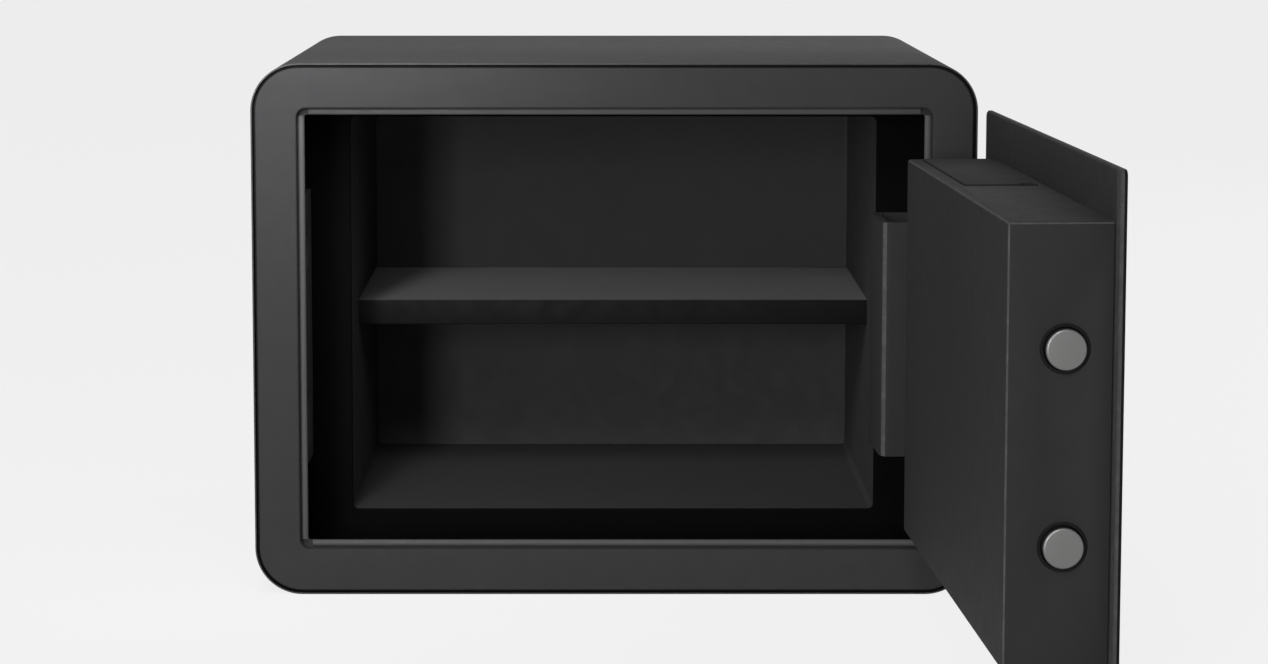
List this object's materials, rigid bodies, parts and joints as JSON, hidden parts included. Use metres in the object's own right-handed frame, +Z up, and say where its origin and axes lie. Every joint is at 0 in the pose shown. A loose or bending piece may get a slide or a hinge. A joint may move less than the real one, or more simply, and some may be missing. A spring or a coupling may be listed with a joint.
{
  "type": "compact security safe",
  "caption": "Compact steel security safe with a shelf, swan-neck door hinge, twin round bolts, keypad, turning knob and key override, shown with its door open.",
  "frame": {"origin": "centre of the cabinet's underside, on the surface it stands on", "axes": "+X to the right seen from the front, +Y to the back of the cabinet, +Z up; the door opens towards -Y on a hinge at the right"},
  "size_m": [0.4157, 0.607, 0.282],
  "materials": {
    "body_paint": "fine matt powder coat",
    "lining_paint": "matt paint",
    "bright_steel": "ground",
    "zinc_steel": "zinc plated",
    "black_plastic": "fine grain",
    "key_plastic": "satin",
    "lock_brass": "satin",
    "floor_felt": "felt",
    "board": "solder mask",
    "window_tint": "gloss",
    "cell_jacket": "gloss sleeve"
  },
  "bodies": {
    "cabinet": {"outer_shell": "body_paint", "front_frame": "body_paint", "inner_liner": "lining_paint", "rear_panel": "body_paint", "strike_plate": "lining_paint", "hinge_bracket_upper": "lining_paint", "hinge_bracket_lower": "lining_paint", "hinge_pin": "bright_steel", "hinge_pin_clip": "bright_steel", "shelf_rail_left": "lining_paint", "shelf_rail_right": "lining_paint", "floor_mat": "floor_felt", "anchor_plug_left": "black_plastic", "anchor_plug_right": "black_plastic"},
    "shelf": {"shelf_tray": "lining_paint"},
    "door": {"door_skin": "body_paint", "door_box": "body_paint", "hinge_arm": "body_paint", "hinge_bush_upper": "black_plastic", "hinge_bush_lower": "black_plastic", "arm_screw_upper": "zinc_steel", "arm_screw_lower": "zinc_steel", "lock_plate": "zinc_steel", "bolt_bush_upper": "black_plastic", "bolt_bush_lower": "black_plastic", "solenoid_body": "black_plastic", "circuit_board": "board", "buzzer": "black_plastic", "battery_tray": "black_plastic", "battery_cell_front_left": "cell_jacket", "battery_cell_front_right": "cell_jacket", "battery_cell_rear_left": "cell_jacket", "battery_cell_rear_right": "cell_jacket", "keypad_bezel": "black_plastic", "status_window": "window_tint", "knob_collar": "black_plastic", "key_cylinder": "lock_brass"},
    "bolts": {"bolt_carriage": "zinc_steel", "bolt_upper": "bright_steel", "bolt_lower": "bright_steel"},
    "knob": {"knob": "black_plastic", "knob_shaft": "zinc_steel", "knob_crank": "zinc_steel"},
    "plunger": {"solenoid_plunger": "bright_steel"},
    "key_plug": {"key_plug": "lock_brass"},
    "key_cover": {"key_cover": "black_plastic"},
    "battery_lid": {"battery_lid": "body_paint"},
    "key_1": {"key_1": "key_plastic"},
    "key_2": {"key_2": "key_plastic"},
    "key_3": {"key_3": "key_plastic"},
    "key_4": {"key_4": "key_plastic"},
    "key_5": {"key_5": "key_plastic"},
    "key_6": {"key_6": "key_plastic"},
    "key_7": {"key_7": "key_plastic"},
    "key_8": {"key_8": "key_plastic"},
    "key_9": {"key_9": "key_plastic"},
    "key_clear": {"key_clear": "key_plastic"},
    "key_0": {"key_0": "key_plastic"},
    "key_enter": {"key_enter": "key_plastic"}
  },
  "joints": [
    {"name": "door_hinge", "type": "hinge", "parent": "cabinet", "child": "door", "pos_m": [0.1817, -0.1225, 0.144], "axis": [0, 0, 1], "range_deg": [-92.7, 7.3]},
    {"name": "shelf_lift", "type": "slide", "parent": "cabinet", "child": "shelf", "axis": [0, 0, 1], "range_m": [0, 0.03]},
    {"name": "knob_turn", "type": "hinge", "parent": "door", "child": "knob", "pos_m": [0.20907, -0.36318, 0.13845], "axis": [0.9989, 0.0471, 0], "range_deg": [0, 90]},
    {"name": "bolt_slide", "type": "slide", "parent": "door", "child": "bolts", "axis": [0.0471, -0.9989, 0], "range_m": [0, 0.018]},
    {"name": "plunger_lift", "type": "slide", "parent": "door", "child": "plunger", "axis": [0, 0, 1], "range_m": [0, 0.004]},
    {"name": "key_plug_turn", "type": "hinge", "parent": "door", "child": "key_plug", "pos_m": [0.20907, -0.36318, 0.206], "axis": [0.9989, 0.0471, 0], "range_deg": [0, 90]},
    {"name": "key_cover_swing", "type": "hinge", "parent": "door", "child": "key_cover", "pos_m": [0.20907, -0.36318, 0.223], "axis": [0.9989, 0.0471, 0], "range_deg": [0, 90]},
    {"name": "battery_lid_hinge", "type": "hinge", "parent": "door", "child": "battery_lid", "pos_m": [0.19487, -0.25322, 0.2358], "axis": [-0.0471, 0.9989, 0], "range_deg": [0, 85]},
    {"name": "press_1", "type": "slide", "parent": "door", "child": "key_1", "axis": [-0.9989, -0.0471, 0], "range_m": [0, 0.0015], "stiffness_N_per_m": 250},
    {"name": "press_2", "type": "slide", "parent": "door", "child": "key_2", "axis": [-0.9989, -0.0471, 0], "range_m": [0, 0.0015], "stiffness_N_per_m": 250},
    {"name": "press_3", "type": "slide", "parent": "door", "child": "key_3", "axis": [-0.9989, -0.0471, 0], "range_m": [0, 0.0015], "stiffness_N_per_m": 250},
    {"name": "press_4", "type": "slide", "parent": "door", "child": "key_4", "axis": [-0.9989, -0.0471, 0], "range_m": [0, 0.0015], "stiffness_N_per_m": 250},
    {"name": "press_5", "type": "slide", "parent": "door", "child": "key_5", "axis": [-0.9989, -0.0471, 0], "range_m": [0, 0.0015], "stiffness_N_per_m": 250},
    {"name": "press_6", "type": "slide", "parent": "door", "child": "key_6", "axis": [-0.9989, -0.0471, 0], "range_m": [0, 0.0015], "stiffness_N_per_m": 250},
    {"name": "press_7", "type": "slide", "parent": "door", "child": "key_7", "axis": [-0.9989, -0.0471, 0], "range_m": [0, 0.0015], "stiffness_N_per_m": 250},
    {"name": "press_8", "type": "slide", "parent": "door", "child": "key_8", "axis": [-0.9989, -0.0471, 0], "range_m": [0, 0.0015], "stiffness_N_per_m": 250},
    {"name": "press_9", "type": "slide", "parent": "door", "child": "key_9", "axis": [-0.9989, -0.0471, 0], "range_m": [0, 0.0015], "stiffness_N_per_m": 250},
    {"name": "press_clear", "type": "slide", "parent": "door", "child": "key_clear", "axis": [-0.9989, -0.0471, 0], "range_m": [0, 0.0015], "stiffness_N_per_m": 250},
    {"name": "press_0", "type": "slide", "parent": "door", "child": "key_0", "axis": [-0.9989, -0.0471, 0], "range_m": [0, 0.0015], "stiffness_N_per_m": 250},
    {"name": "press_enter", "type": "slide", "parent": "door", "child": "key_enter", "axis": [-0.9989, -0.0471, 0], "range_m": [0, 0.0015], "stiffness_N_per_m": 250}
  ],
  "couplings": [
    {"joint": "knob_turn", "follows": "bolt_slide", "rad_per_m": 87.266},
    {"joint": "plunger_lift", "follows": "bolt_slide", "ratio": 0.2222}
  ]
}
